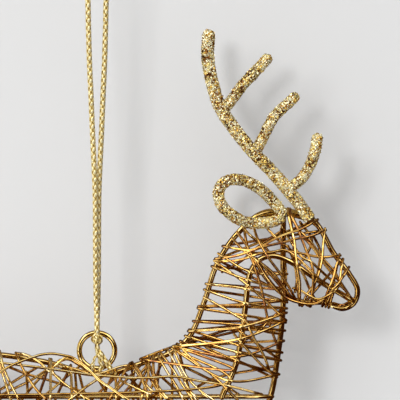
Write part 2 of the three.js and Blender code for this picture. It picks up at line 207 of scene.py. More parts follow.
def tube(path, radius, reference, sides=10, closed=False, tone=0.5, relief=None):
    """Point = line + radius * (cos a * side + sin a * up), where side is the line's direction
    crossed with the reference and up is the direction crossed with side. Open ends are rounded:
    the last rings step out by r * sin and shrink by cos of three angles. relief(along, angle)
    is added to the radius."""
    path = np.asarray(path, float)
    direction = tangents(path, closed)
    reference = np.broadcast_to(np.asarray(reference, float), path.shape)
    side = unit(np.cross(direction, reference))
    up = np.cross(direction, side)
    radius = np.broadcast_to(np.asarray(radius, float), len(path)).copy()
    gaps = np.linalg.norm(np.diff(path, axis=0), axis=1)
    along = np.r_[0, np.cumsum(gaps)]
    if not closed:
        head = path[0] - direction[0] * (radius[0] * np.sin(END_TURN))[:, None]
        tail = path[-1] + direction[-1] * (radius[-1] * np.sin(END_TURN[::-1]))[:, None]
        path = np.vstack([head, path, tail])
        side, up, along = (with_end_rings(values) for values in (side, up, along))
        radius = np.r_[radius[0] * np.cos(END_TURN), radius, radius[-1] * np.cos(END_TURN[::-1])]
    angle = np.arange(sides) * 2 * np.pi / sides
    out = radius[:, None] * np.ones(sides)
    if relief is not None:
        out = out + relief(along[:, None], angle[None, :]) * (radius / radius.max())[:, None]
    points = path[:, None] + out[..., None] * (
        np.cos(angle)[None, :, None] * side[:, None] + np.sin(angle)[None, :, None] * up[:, None]
    )
    quads = ring_quads(len(path), sides, closed)
    return shell(points.reshape(-1, 3), quads, tone, np.repeat(along, sides))


# %% [markdown]
# Many tubes make one piece, such as all the wires wound round the neck. They are joined as arrays and
# written to the mesh in one go. Each piece rides on the ornament's one body, takes its finish, hides the
# solids it stands for, and carries its tone and length numbers as attributes.


# %% Pieces
def make_piece(name, shells, material, stands_for=()):
    """One object from several closed shells, moved from the ring's centre to its place in metres."""
    counts = np.cumsum([0] + [len(s["points"]) for s in shells])
    points = (np.vstack([s["points"] for s in shells]) + ring_centre) * MM
    quads = np.vstack([s["quads"] + start for s, start in zip(shells, counts)])
    triangles = np.vstack([s["triangles"] + start for s, start in zip(shells, counts)])
    corners = np.concatenate([quads.ravel(), triangles.ravel()]).astype(np.int32)
    starts = np.r_[np.arange(len(quads)) * 4, quads.size + np.arange(len(triangles)) * 3].astype(np.int32)
    facets = [np.full(len(s[kind]), s["faceted"]) for kind in ("quads", "triangles") for s in shells]
    mesh = bpy.data.meshes.new(name)
    mesh.vertices.add(len(points))
    mesh.vertices.foreach_set("co", points.ravel())
    mesh.loops.add(len(corners))
    mesh.loops.foreach_set("vertex_index", corners)
    mesh.polygons.add(len(starts))
    mesh.polygons.foreach_set("loop_start", starts)
    mesh.polygons.foreach_set("use_smooth", ~np.concatenate(facets))
    mesh.update(calc_edges=True)
    for number in ("tone", "along"):
        values = np.concatenate([s[number] for s in shells]).astype(np.float32)
        mesh.attributes.new(number, "FLOAT", "POINT").data.foreach_set("value", values)
    mesh.materials.append(material)
    piece = bpy.data.objects.new(name, mesh)
    bpy.context.scene.collection.objects.link(piece)
    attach(piece, "root")
    if stands_for:
        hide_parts(*stands_for)
    print(f"{name}: {len(shells)} shells, {2 * len(quads) + len(triangles)} triangles")
    return piece


# %% [markdown]
# A finish is a small graph of nodes. Ramps over noise give the patches of a metal that was heated,
# dipped and handled, and a bump gives what is too fine to model. These helpers only save typing.


# %% Node helpers
def new_material(name, metallic, roughness=0.5, specular=0.5):
    """A material and its shader, with these numbers set on the shader itself."""
    material = bpy.data.materials.new(name)
    material.use_nodes = True
    nodes = material.node_tree.nodes
    shader = nodes["Principled BSDF"]
    shader.inputs["Metallic"].default_value = metallic
    shader.inputs["Roughness"].default_value = roughness
    shader.inputs["Specular IOR Level"].default_value = specular
    return material, shader


def add(material, kind, **settings):
    """A node of this kind, with its named settings."""
    node = material.node_tree.nodes.new(kind)
    for key, value in settings.items():
        setattr(node, key, value)
    return node


def link(material, output, socket):
    """A line from one node's output to another node's socket."""
    material.node_tree.links.new(output, socket)


def noise(material, size_mm, detail=3.0, roughness=0.55):
    """Noise on the piece's own coordinates, which are in metres, with patches of this size."""
    place = add(material, "ShaderNodeTexCoord")
    node = add(material, "ShaderNodeTexNoise")
    node.inputs["Scale"].default_value = 1 / (size_mm * MM)
    node.inputs["Detail"].default_value = detail
    node.inputs["Roughness"].default_value = roughness
    link(material, place.outputs["Object"], node.inputs["Vector"])
    return node.outputs["Fac"]


def attribute(material, name):
    """A number that the mesh carries at each of its points."""
    return add(material, "ShaderNodeAttribute", attribute_name=name).outputs["Fac"]


def with_share(material, number, other, share):
    """The number + share * the other number."""
    node = add(material, "ShaderNodeMath", operation="MULTIPLY_ADD")
    link(material, other, node.inputs[0])
    node.inputs[1].default_value = share
    link(material, number, node.inputs[2])
    return node.outputs[0]


def ramp(material, value, stops, smooth=True):
    """A colour or grey for each place on the ramp: stops are (place, colour)."""
    node = add(material, "ShaderNodeValToRGB")
    if smooth:
        node.color_ramp.interpolation = "EASE"
    elements = node.color_ramp.elements
    while len(elements) < len(stops):
        elements.new(0.5)
    for element, (place, colour) in zip(elements, stops):
        element.position = place
        element.color = (*colour, 1) if len(colour) == 3 else (colour[0],) * 3 + (1,)
    link(material, value, node.inputs["Fac"])
    return node.outputs["Color"]


def bump(material, shader, height, distance_mm):
    """Light falls on the surface as if it were raised by height * distance."""
    node = add(material, "ShaderNodeBump")
    node.inputs["Strength"].default_value = 1.0
    node.inputs["Distance"].default_value = distance_mm * MM
    link(material, height, node.inputs["Height"])
    link(material, node.outputs["Normal"], shader.inputs["Normal"])


# %% [markdown]
# The rods, the wires and the ring are steel with a thin gold-coloured plating. It is bright where it
# was polished and goes to copper brown in patches, more on some wires than on others. Each wire's own
# tone number shifts it along the ramp, so neighbours differ as they do on the real one. A thin clear
# coat keeps a sharp line of light on every wire, also where the gold beneath is dull.

# %% Gold finishes
WIRE_TONE_SHARE = 0.5
SCRATCH_SIZE = 0.5


def gold(name, stops, patch_mm, rough_span, scratch_mm):
    """Colour = the ramp at patches + a share of the wire's tone, roughness = finer noise within its
    span, and scratches of this depth."""
    material, shader = new_material(name, 1.0)
    patches = noise(material, patch_mm, detail=4)
    place = with_share(material, patches, attribute(material, "tone"), WIRE_TONE_SHARE)
    link(material, ramp(material, place, stops), shader.inputs["Base Color"])
    wear = noise(material, patch_mm / 4, detail=5, roughness=0.7)
    rough = ramp(material, wear, [(0.35, (rough_span[0],)), (0.7, (rough_span[1],))])
    link(material, rough, shader.inputs["Roughness"])
    bump(material, shader, noise(material, SCRATCH_SIZE, detail=4, roughness=0.65), scratch_mm)
    shader.inputs["Coat Weight"].default_value = 1.0
    shader.inputs["Coat Roughness"].default_value = 0.08
    return material


rod_gold = gold(
    "rod_gold",
    [(0.42, (0.26, 0.12, 0.015)), (0.62, (0.52, 0.31, 0.055)), (0.95, (0.80, 0.60, 0.22))],
    patch_mm=3.0, rough_span=(0.03, 0.09), scratch_mm=0.005,
)
wire_gold = gold(
    "wire_gold",
    [
        (0.42, (0.30, 0.105, 0.012)), (0.60, (0.60, 0.33, 0.055)), (0.82, (0.88, 0.62, 0.19)),
        (1.0, (0.97, 0.84, 0.48)),
    ],
    patch_mm=2.4, rough_span=(0.07, 0.18), scratch_mm=0.012,
)
ring_gold = gold(
    "ring_gold",
    [(0.3, (0.34, 0.17, 0.02)), (0.6, (0.66, 0.44, 0.09)), (0.9, (0.92, 0.74, 0.32))],
    patch_mm=2.0, rough_span=(0.05, 0.12), scratch_mm=0.01,
)
print("gold finishes", [finish.name for finish in (rod_gold, wire_gold, ring_gold)])

# %% [markdown]
# The glitter is coarse chips stuck on in every direction. Each chip is a facet of its own with its own
# tone: white, champagne, gold, and some dark brown that is painted shade, given to chips at random. Broad
# patches shift those tones together, because the glue took more chips in some places than in others. The
# coat beneath is painted dark, as shade between the chips, and is full of small grains.

# %% Glitter finish
# The darkest stops are painted shade, on low-toned chips and on the coat beneath.
GLITTER_STOPS = [
    (0.0, (0.09, 0.03, 0.005)),
    (0.28, (0.30, 0.11, 0.01)),
    (0.46, (0.84, 0.50, 0.08)),
    (0.64, (1.0, 0.77, 0.22)),
    (0.84, (1.0, 0.91, 0.44)),
    (1.0, (1.0, 0.97, 0.70)),
]
GRAIN_SHARE = 0.25
PATCH_SHARE = 1.7
TONE_SHIFT = 0.86
glitter, glitter_shader = new_material("glitter", 0.66)
grain = noise(glitter, 0.3, detail=3, roughness=0.7)
chip_tone = with_share(glitter, attribute(glitter, "tone"), grain, GRAIN_SHARE)
chip_tone = with_share(glitter, chip_tone, noise(glitter, 4, detail=2), PATCH_SHARE)
shifted = add(glitter, "ShaderNodeMath", operation="SUBTRACT")
link(glitter, chip_tone, shifted.inputs[0])
shifted.inputs[1].default_value = TONE_SHIFT
chip_colour = ramp(glitter, shifted.outputs[0], GLITTER_STOPS, smooth=False)
link(glitter, chip_colour, glitter_shader.inputs["Base Color"])
glitter_rough = ramp(glitter, grain, [(0.3, (0.14,)), (0.7, (0.36,))])
link(glitter, glitter_rough, glitter_shader.inputs["Roughness"])
bump(glitter, glitter_shader, grain, 0.04)
print("glitter", len(GLITTER_STOPS), "tones")

# %% [markdown]
# The cord is a round plait of metallic thread: soft yarn wrapped in a thin gold foil. It shines less than
# the wire, has a little sheen, and has painted shade in the pits between its stitches. The mesh holds the
# stitches. The material adds the threads inside one stitch and paints the pits dark, as shade, from the
# attribute that says how deep each point lies.

# %% Cord finish
thread, thread_shader = new_material("braided_thread", 0.6, 0.36)
# Painted shade: the thread's colour goes dark towards the pits of the plait.
pit_shade_tone = with_share(thread, attribute(thread, "tone"), noise(thread, 0.35, detail=3), 0.35)
thread_stops = [
    (0.42, (0.10, 0.045, 0.006)),
    (0.66, (0.52, 0.34, 0.07)),
    (0.88, (0.92, 0.74, 0.28)),
    (1.0, (1.0, 0.92, 0.58)),
]
link(thread, ramp(thread, pit_shade_tone, thread_stops), thread_shader.inputs["Base Color"])
thread_shader.inputs["Sheen Weight"].default_value = 0.25
thread_shader.inputs["Sheen Roughness"].default_value = 0.4
bump(thread, thread_shader, noise(thread, 0.12, detail=2), 0.03)
print("cord finish", thread.name)

# %% [markdown]
# The cord comes first, because its room decides how far the whole thing reaches. It is one length:
# out of the knot in front of the ring, up, over whatever it hangs from, and down again behind the
# ring. The two runs touch low down, where the knot pulls them together. It is a mesh tube rather than
# a curve, because a plait is a relief: two families of strands wind opposite ways and pass over and
# under each other, which a height over length and angle gives exactly.

# %% Hanging cord
cord_up = [
    (0, -1.5, 3.75), (0, -1.62, 5.2), (0, -1.3, 7.4), (-0.13, -0.9, 10.9), (-0.28, -0.76, 17),
    (-0.34, -0.73, 24), (-0.44, -0.68, 39), (-0.72, -0.42, 46), (-1.17, -0.2, 55.6),
    (-1.52, -0.08, 64), (-1.87, 0, 71.6), (-2.12, 0, 80), (-2.3, 0, 87.6), (-2.62, 0, 91.4),
    (-2.9, 0, 94), (-2.6, 0, 95.9), (-1.5, 0, 97.15),
]
cord_top = [(0, 0, 97.6)]
cord_down = [(-x, -y, z) for x, y, z in reversed(cord_up)]
cord_line = smooth_line(cord_up + cord_top + cord_down, step=0.11)
cord_aside = (0.35, 1, 0)
cord_sides = 20
stitch_length = 0.95
strands = 3
stitch_depth = 0.30
stitch_dip = 0.28


def plait(along, angle):
    """Two families of strands, u = n a / 2 pi + s / p and v = n a / 2 pi - s / p. Where the whole
    parts of u and v add up to an even number the first family is on top, otherwise the second.
    The height of a strand is the root of the sine across it, less a dip where it goes under."""
    u = strands * angle / (2 * np.pi) + along / (2 * stitch_length)
    v = strands * angle / (2 * np.pi) - along / (2 * stitch_length)
    first = (np.floor(u) + np.floor(v)) % 2 == 0
    across = np.where(first, u % 1, v % 1)
    under = np.where(first, v % 1, u % 1)
    crown = np.sqrt(np.abs(np.sin(np.pi * across))) * (1 - stitch_dip + stitch_dip * np.sin(np.pi * under))
    return stitch_depth * (crown - 1)


def stitch_shade_tone(cord, sides, scale=1.0):
    """1 on the crown of a stitch and less in the pits, for painted shade there: 1 + height / depth at each
    point.
    """
    around = np.arange(sides) * 2 * np.pi / sides
    return 1 + plait(cord["along"].reshape(-1, sides) / scale, around[None, :]).ravel() / stitch_depth


cord_shell = tube(cord_line, cord_thickness / 2, cord_aside, sides=cord_sides, relief=plait)
# Painted shade: the tone falls towards the pits between the stitches.
cord_shell["tone"] = stitch_shade_tone(cord_shell, cord_sides)
hanging_cord = make_piece("braided_hanging_cord", [cord_shell], thread, ["hanging_cord"])

# %% [markdown]
# The knot sits just under the top of the ring: the doubled cord goes through, turns round itself and
# leaves short tails whose plait comes undone. A few turns of the same plaited tube make the knot,
# thinner ones make the tails, and a sheaf of thin tubes makes the loose threads at their ends.

# %% Knot
random = np.random.default_rng(7)
knot_loops = [
    [(0, -1.62, 4.6), (-0.3, -1.8, 3.8), (-0.75, -1.75, 3.3), (-0.9, -1.6, 2.8), (-0.5, -1.7, 2.3),
     (0.2, -1.2, 2.0), (0.8, -0.2, 2.4), (0.8, 0.9, 3.0), (0.1, 1.4, 3.8)],
    [(0.0, -1.7, 3.9), (0.5, -1.75, 3.5), (0.9, -1.7, 3.0), (0.6, -1.7, 2.4), (-0.1, -1.9, 2.6),
     (-0.6, -1.3, 2.8), (-0.5, 0.1, 3.2), (-0.2, 1.2, 3.4)],
    [(-0.2, -1.9, 3.2), (0.0, -2.0, 2.7), (0.05, -1.85, 1.9), (0.1, -1.8, 1.1), (0.1, -1.75, 0.3),
     (0.2, -1.75, -0.4)],
]
knot_radius = 0.66
knot_sides = 16
knot_aside = (0.35, 1, 0.2)


def yarn(line, radius, tone, scale):
    """A plaited tube on a short line, with stitches of this share of the cord's. Its tone is the cord's
    painted shade in the pits, made darker or lighter by as much as this tone is under or over a half."""

    def relief(along, angle):
        """The cord's plait, larger or smaller by the scale."""
        return scale * plait(along / scale, angle)

    piece = tube(smooth_line(line, step=0.1), radius, knot_aside, sides=knot_sides, relief=relief)
    # Painted shade in the pits, as on the cord.
    piece["tone"] = np.clip(tone - 0.5 + stitch_shade_tone(piece, knot_sides, scale), 0, 1)
    return piece


knot_shells = [yarn(line, knot_radius, 0.35, 1.05) for line in knot_loops]
print("knot", len(knot_shells), "turns")

# %% Tails
tail_lines = [
    ([(0.1, -1.7, 0.8), (0.25, -1.75, 0.0), (1.0, -1.85, -0.8), (1.65, -1.95, -1.9), (2.4, -2.0, -3.0),
      (3.1, -2.1, -4.1), (3.5, -2.1, -5.1)], 0.74),
    ([(0.1, -1.8, 0.6), (0.2, -1.9, -0.7), (0.7, -2.0, -1.8), (0.9, -2.0, -2.9), (1.3, -2.0, -3.9),
      (0.8, -2.1, -4.8)], 0.58),
    ([(0.0, -1.7, 0.0), (0.0, -1.8, -1.2), (-0.55, -1.9, -1.9), (-0.9, -1.95, -2.9), (-1.3, -2.0, -3.7),
      (-1.1, -2.1, -4.6)], 0.42),
]
thread_radius = 0.11
thread_aside = (0.3, 1, 0.1)
threads_in_tail = 6
sheaf_at_knot, sheaf_growth = 0.16, 0.62
slow_wander, quick_wander = 0.14, 0.09


def frayed(line):
    """Threads side by side: each keeps its place in the sheaf, wanders as a sum of two sines, and
    the sheaf widens towards the cut end with the square of the way along."""
    middle = smooth_line(line, step=0.25)
    part = np.linspace(0, 1, len(middle))
    shells = []
    for _ in range(threads_in_tail):
        angle, reach, wave = random.uniform(0, 2 * np.pi), random.uniform(0.3, 1), random.uniform(0, 6, 2)
        spread = (sheaf_at_knot + sheaf_growth * part**2) * reach
        wander = slow_wander * np.sin(5 * part + wave[0]) + quick_wander * np.sin(13 * part + wave[1])
        path = middle.copy()
        path[:, 0] += spread * np.cos(angle) + wander * (0.3 + part)
        path[:, 1] += spread * np.sin(angle) * 0.8
        path[:, 2] += wander * 0.4
        keep = int(len(path) * random.uniform(0.85, 1))
        shells.append(tube(path[:keep], thread_radius, thread_aside, sides=6, tone=random.uniform(0.5, 1)))
    return shells


for line, tail_radius in tail_lines:
    knot_shells.append(yarn(line, tail_radius, 0.4, 1.1))
    knot_shells += frayed(line)
cord_knot = make_piece("cord_knot_and_tails", knot_shells, thread, ["cord_knot"])

# %% [markdown]
# The ring is a turn of thicker wire, closed by a weld that also holds it to the back. It is polished,
# so it is the smoothest tube here. The weld is a small puddle of metal: a lumpy ball squeezed
# between the ring's foot and the back rod.

# %% Hanging ring
ring_radius = (ring_outside - ring_wire) / 2
turn = np.linspace(0, 2 * np.pi, 120, endpoint=False)
ring_line = np.stack([ring_radius * np.sin(turn), 0 * turn, ring_radius * np.cos(turn)], axis=1)
weld_line = smooth_line([(-0.75, 0, -5.35), (0, 0, -5.2), (0.75, 0, -5.3)], step=0.2)
weld_radius = 0.42 + 0.3 * np.sin(np.linspace(0, np.pi, len(weld_line)))
make_piece(
    "hanging_ring_polished",
    [
        tube(ring_line, ring_wire / 2, (0, 1, 0), sides=24, closed=True, tone=0.5),
        tube(weld_line, weld_radius, (0, 1, 0), sides=16, tone=0.2),
    ],
    ring_gold, ["hanging_ring"],
)

# %% [markdown]
# The frame is seven rods. One draws the deer's outline from the rump over the back, neck and
# forehead to the muzzle and back under the jaw. A pair runs down the chest and along the belly, a
# pair runs up the sides of the neck to the cheeks, a level hoop gives the body its width, and a small
# loop is the tail. Curve objects would do, but the windings need the rods' points, so each rod is a
# line of points from the start.

# %% The rods of the frame
hoop_level = -11.5
throat_width = 1.5
muzzle_width = 1.6
side_rod_foot = 8.36
outline_rod = smooth_line([
    (x, 0, z) for x, z in [
        (-45.9, -9), (-44.9, -4.9), (-41, -1.8), (-34, -0.6), (-24, -1.1), (-11, -3.3), (-4, -5.4),
        (0, -5.85), (4.5, -5.55), (10, -3.6), (19, -0.2), (23.2, 3.6), (26.8, 12.1), (30, 21.6),
        (35, 29.1), (40.6, 33.7), (44.5, 34.6), (49, 34.3), (54.5, 32), (59, 24.6), (63.2, 18.9),
        (65.1, 15.2), (64.3, 12), (61.5, 10.5), (57, 12), (51.5, 12.1), (46.6, 13.6),
    ]
])


def chest_rod(side):
    """From the poll down the throat and chest, then back under the belly to the rump."""
    throat, belly = side * throat_width / 2, side * belly_width / 2
    shares = [
        (46.6, 34.6, 1, 0), (46.5, 22.4, 1, 0), (46.6, 13.4, 1, 0), (46.1, 5.6, 1, 0.05),
        (45.1, -1.9, 1, 0.15), (43.6, -10.6, 1, 0.4), (41.2, -16.6, 0, 0.75), (35.5, -20.6, 0, 0.95),
        (26, -21.8, 0, 1), (0, -20.8, 0, 1), (-26, -20.3, 0, 1), (-37, -19.4, 0, 0.95),
        (-42.4, -16.2, 0, 0.65), (-44.9, -11.5, 1, 0.2), (-45.6, -7, 1, 0),
    ]
    return smooth_line([(x, throat * near + belly * wide, z) for x, z, near, wide in shares])


def side_rod(side):
    """From the hoop up the side of the neck, over the cheek and along to the muzzle."""
    foot, cheek, muzzle = side * side_rod_foot, side * cheek_width / 2, side * muzzle_width / 2

    def between(part):
        """foot + (cheek - foot) * part"""
        return foot + (cheek - foot) * part

    return smooth_line([
        (31.25, foot, hoop_level), (34.6, between(0.1), -3.75), (36.2, between(0.35), 4.2),
        (37.2, between(0.7), 11.8), (38.2, between(0.95), 19), (40.6, cheek, 22.7), (44, cheek, 23.7),
        (48.1, 0.98 * cheek, 22.3), (55.7, 0.75 * cheek, 17.3), (63.8, muzzle, 12.6),
    ])


chest_rods = {side: chest_rod(side) for side in (-1, 1)}
side_rods = {side: side_rod(side) for side in (-1, 1)}
tail_rod = smooth_line([
    (x, 0, z) for x, z in [(-44.2, -3.9), (-47.4, -1.6), (-49.9, -2.6), (-49.4, -5.4), (-45.8, -8.6)]
])
print("rod points", len(outline_rod), len(chest_rods[1]), len(side_rods[1]), len(tail_rod))

# %% [markdown]
# The hoop is thinner than the other rods. It is fuller than an ellipse, as a rod bent round four
# corners is: the cosine and the sine that draw an ellipse are each raised to a power below one. The
# outline rod is a little thicker over the poll, as the picture shows it.

# %% Hoop and welded frame
hoop_front, hoop_back = 43.9, -45.1
hoop_power = 4
hoop_radius = 0.45
hoop_turn = np.linspace(0, 2 * np.pi, 420, endpoint=False)
hoop_x, hoop_y = (
    np.sign(f) * np.abs(f) ** (2 / hoop_power) for f in (np.cos(hoop_turn), np.sin(hoop_turn))
)
hoop_x = (hoop_front + hoop_back) / 2 + (hoop_front - hoop_back) / 2 * hoop_x
hoop_rod = np.stack([hoop_x, body_width / 2 * hoop_y, np.full_like(hoop_x, hoop_level)], axis=1)
hoop_rod = even_steps(np.vstack([hoop_rod, hoop_rod[:1]]), 0.5)[:-1]
poll_x, poll_reach, poll_rise, head_level = 46.5, 8.5, 0.36, 25
over_poll = np.clip(1 - ((outline_rod[:, 0] - poll_x) / poll_reach) ** 2, 0, 1)
over_poll *= outline_rod[:, 2] > head_level
frame_shells = [
    tube(outline_rod, rod_radius + poll_rise * np.sqrt(over_poll), (0, 1, 0), sides=16, tone=0.5),
    tube(hoop_rod, hoop_radius, (0, 0, 1), sides=14, closed=True, tone=0.7),
    tube(tail_rod, rod_radius, (0, 1, 0), sides=14, tone=0.5),
]
for side in (-1, 1):
    frame_shells.append(tube(chest_rods[side], rod_radius, (0, 1, 0), sides=14, tone=0.4))
    frame_shells.append(tube(side_rods[side], rod_radius, (0, 1, 0), sides=14, tone=0.55))
make_piece("welded_rod_frame", frame_shells, rod_gold, ["wire_frame"])

# %% [markdown]
# The windings are what one sees first. A taut wire runs straight from rod to rod, so the cage's skin
# is flat between them. That gives a simple rule for its depth anywhere: near the outline it lies in
# the middle plane, at the side rod it is as far out as that rod, and between them it grows evenly.
# So a wire can be drawn flat, as it shows in the picture, and the rule gives it its depth.

# %% How deep the cage is
edge_line = np.vstack([outline_rod, chest_rods[-1]])
edge_direction = np.vstack([tangents(outline_rod), tangents(chest_rods[-1])])
edge_flat = edge_line[:, [0, 2]]
edge_out = unit(np.stack([-edge_direction[:, 2], edge_direction[:, 0]], axis=1))
edge_depth = np.abs(edge_line[:, 1])
clearly_near = -0.3
near_hoop = hoop_rod[hoop_rod[:, 1] < clearly_near]
ridge_line = np.vstack([near_hoop, side_rods[-1]])
ridge_flat = ridge_line[:, [0, 2]]
ridge_depth = np.abs(ridge_line[:, 1])


def nearest(flat, line):
    """For each flat point the distance to the nearest point of a line, and that point's number."""
    gap = np.linalg.norm(flat[:, None] - line[None], axis=2)
    at = gap.argmin(axis=1)
    return gap[np.arange(len(flat)), at], at


def cage_depth(flat):
    """(depth of side rod * e + depth of edge rod * s) / (e + s), for distances e and s to them."""
    to_edge, edge_at = nearest(flat, edge_flat)
    to_ridge, ridge_at = nearest(flat, ridge_flat)
    total = np.maximum(to_edge + to_ridge, 1e-6)
    return (ridge_depth[ridge_at] * to_edge + edge_depth[edge_at] * to_ridge) / total


print("edge points", len(edge_flat), "ridge points", len(ridge_flat), "deepest", ridge_depth.max().round(2))

# %% [markdown]
# A strand is one pass of a wire across the near side, from one edge rod to another. Its ends are
# moved onto the outside of the nearest edge rod, where the wire turns over to the far side, and a
# straight pass there leads to the start of the next strand. So a list of strands becomes one
# long wire, wound as a maker winds it. Each pass stands a little further out than the rods, some
# more than others, because later turns lie on earlier ones.

# %% Winding strands into one wire
bearing = rod_radius + wire_radius + weld_gap
strand_step = 0.36
rise_length = 2.2
turn_length = 1.2
turn_weight = 1.6
HOLLOW_REACHES = (32, 16, 8, 4, 2, 1)
TAUT_ROUNDS = 4


def flat_line(points):
    """A flat route with its corners rounded."""
    if len(points) > 2:
        return smooth_line(points, step=strand_step)
    return even_steps(np.asarray(points), strand_step)


def onto_edge(point):
    """The place beside the nearest edge rod where a wire bears on its outside."""
    _, at = nearest(np.asarray(point, float)[None], edge_flat)
    return edge_flat[at[0]] + bearing * edge_out[at[0]], edge_out[at[0]], edge_depth[at[0]]


def pulled_taut(depth):
    """A taut wire spans hollows: each depth becomes at least the mean of those an equal way to both
    sides, from far to near, over and over."""
    for reach in HOLLOW_REACHES * TAUT_ROUNDS:
        if 2 * reach < len(depth):
            middle = (depth[:-2 * reach] + depth[2 * reach:]) / 2
            depth[reach:-reach] = np.maximum(depth[reach:-reach], middle)
    return depth


def one_pass(start, end, route, face, lift):
    """A pass over one face of the cage, with y = face * (depth + stand-off). The stand-off is
    a wire's radius at both ends and rises smoothly to the bearing plus the lift."""
    flat = flat_line([start[0], *route, end[0]])
    run = np.r_[0, np.cumsum(np.linalg.norm(np.diff(flat, axis=0), axis=1))]
    from_end = np.minimum(run, run[-1] - run)
    ease = np.clip(from_end / rise_length, 0, 1)
    ease = ease * ease * (3 - 2 * ease)
    stand_off = wire_radius + (bearing + lift - wire_radius) * ease
    y = face * (pulled_taut(cage_depth(flat)) + stand_off)
    path = np.stack([flat[:, 0], y, flat[:, 1]], axis=1)
    out = np.zeros_like(path)
    out[:, 1] = face
    weight = turn_weight * np.clip(1 - from_end / turn_length, 0, 1)
    half = len(path) // 2
    for rows, (_, normal, _) in ((slice(0, half), start), (slice(half, None), end)):
        out[rows] += weight[rows, None] * np.array([normal[0], 0, normal[1]])
    return path, out


print("a wire's line lies", round(bearing, 2), "mm from a rod's line")

# %% [markdown]
# The passes of one wire are put end to end and evened out a little, so that it turns round the rods without
# a kink. Each pass has a tone of its own, and those on the far side are painted browner, as painted shade,
# because they lie in the shade of the near ones.

# %% One long wire, or single ones
wire_sides = 8
# Far passes get darker tones: painted shade.
far_shade_tone = (-0.2, 0.45)
closest_points = 0.04


def rolling_mean(values, width):
    """Each value replaced by the mean of its neighbours."""
    padded = np.pad(values, ((width // 2, width // 2), (0, 0)), mode="edge")
    sums = np.cumsum(np.vstack([np.zeros((1, values.shape[1])), padded]), axis=0)
    return (sums[width:] - sums[:-width]) / width


def wind(routes, random, lift=0.6, tone=(0.2, 0.9)):
    """Near passes along the routes, joined by straight far passes."""
    ends = []
    for route in routes:
        route = np.asarray(route, float)
        ends.append((onto_edge(route[0]), route[1:-1], onto_edge(route[-1])))
    paths, outs, tones = [], [], []
    level = random.uniform(*tone)
    for k, (start, middle, end) in enumerate(ends):
        near, near_out = one_pass(start, end, middle, -1, random.uniform(0, lift))
        paths.append(near)
        outs.append(near_out)
        tones.append(np.full(len(near), level))
        if k + 1 < len(ends):
            far, far_out = one_pass(end, ends[k + 1][0], [], 1, random.uniform(0, lift))
            paths.append(far)
            outs.append(far_out)
            # Painted shade: the far pass takes a darker tone.
            tones.append(np.full(len(far), random.uniform(*far_shade_tone)))
            level = random.uniform(*tone)
    path = rolling_mean(np.vstack(paths), 3)
    out = rolling_mean(np.vstack(outs), 5)
    keep = np.r_[True, np.linalg.norm(np.diff(path, axis=0), axis=1) > closest_points]
    path, out = path[keep], out[keep]
    tone_along = rolling_mean(np.concatenate(tones)[keep][:, None], 9)[:, 0]
    piece = tube(path, wire_radius, out, sides=wire_sides)
    piece["tone"] = np.repeat(with_end_rings(tone_along), wire_sides)
    return piece


def laid(routes, random, face=-1, lift=1.0, tone=(0.3, 1.0)):
    """Wires that lie over one face only, each with both ends tucked in behind a rod."""
    shells = []
    for route in routes:
        route = from_pixels(route)
        loose = [(point, np.zeros(2), 0) for point in (route[0], route[-1])]
        line, out = one_pass(*loose, route[1:-1], face, random.uniform(0.2, lift))
        shells.append(tube(line, wire_radius, out, sides=wire_sides, tone=random.uniform(*tone)))
    return shells


print("wires of", wire_sides, "sides and", winding_wire, "mm")

# %% [markdown]
# On the neck the picture shows the wires going down from the back, over the side rod and on to the
# chest. Each row gives the picture's rows at which one wire crosses those three rods, so the
# columns come from the rods themselves. A second set rises the other way across the first.

# %% Routes of the neck's wires
NECK_DOWN = [
    (256, 272, 275), (267, 280, 290), (284, 289, 303), (290, 303, 309), (308, 304, 300), (309, 315, 322),
    (322, 325, 330), (332, 345, 352), (338, 352, 359), (344, 361, 374), (349, 369, 385), (353, 379, 394),
]
NECK_ACROSS = [(262, 285, 320), (334, 326, 312), (350, 338, 320), (352, 356, 341), (354, 380, 374)]
NECK_LAID = [
    [(231, 325), (247, 336), (262, 347), (279, 359)],
    [(234, 334), (248, 350), (262, 365), (277, 377)],
    [(244, 316), (255, 340), (264, 356), (270, 372)],
    [(282, 309), (268, 321), (257, 332), (244, 340)],
    [(206, 347), (224, 355), (242, 362), (272, 377)],
    [(204, 297), (222, 307), (244, 320), (262, 330), (281, 334)],
]
print("neck wires", len(NECK_DOWN) + len(NECK_ACROSS) + len(NECK_LAID))

# %% Neck
back_stretch = outline_rod[(outline_rod[:, 0] > 19) & (outline_rod[:, 0] < 36)]
chest_stretch = chest_rods[-1][chest_rods[-1][:, 2] > -12]
neck_stretch = side_rods[-1][side_rods[-1][:, 0] < 40]


def on_rod(rod, row):
    """The flat point of a rod that rises steadily, at one of the picture's rows."""
    _, z = from_pixels([0, row])
    order = rod[:, 2].argsort()
    return np.array([np.interp(z, rod[order, 2], rod[order, 0]), z])


def crossing(rows):
    """A flat route from its rows on the back, on the side rod and on the chest."""
    back, middle, chest = rows
    return [on_rod(back_stretch, back), on_rod(neck_stretch, middle), on_rod(chest_stretch, chest)]


random = np.random.default_rng(21)
neck_shells = [
    wind([crossing(rows) for rows in NECK_DOWN], random, tone=(0.0, 0.7)),
    wind([crossing(rows) for rows in NECK_ACROSS], random, lift=1.1, tone=(0.0, 0.7)),
    *laid(NECK_LAID, random, tone=(0.1, 0.8)),
]
make_piece("wound_neck", neck_shells, wire_gold, ["neck_winding"])

# %% [markdown]
# The head is wound from the poll to the muzzle with wires that fan out from the knob of turns behind
# the brow and from the throat. Their routes are drawn flat, point by point, as the picture shows
# them.

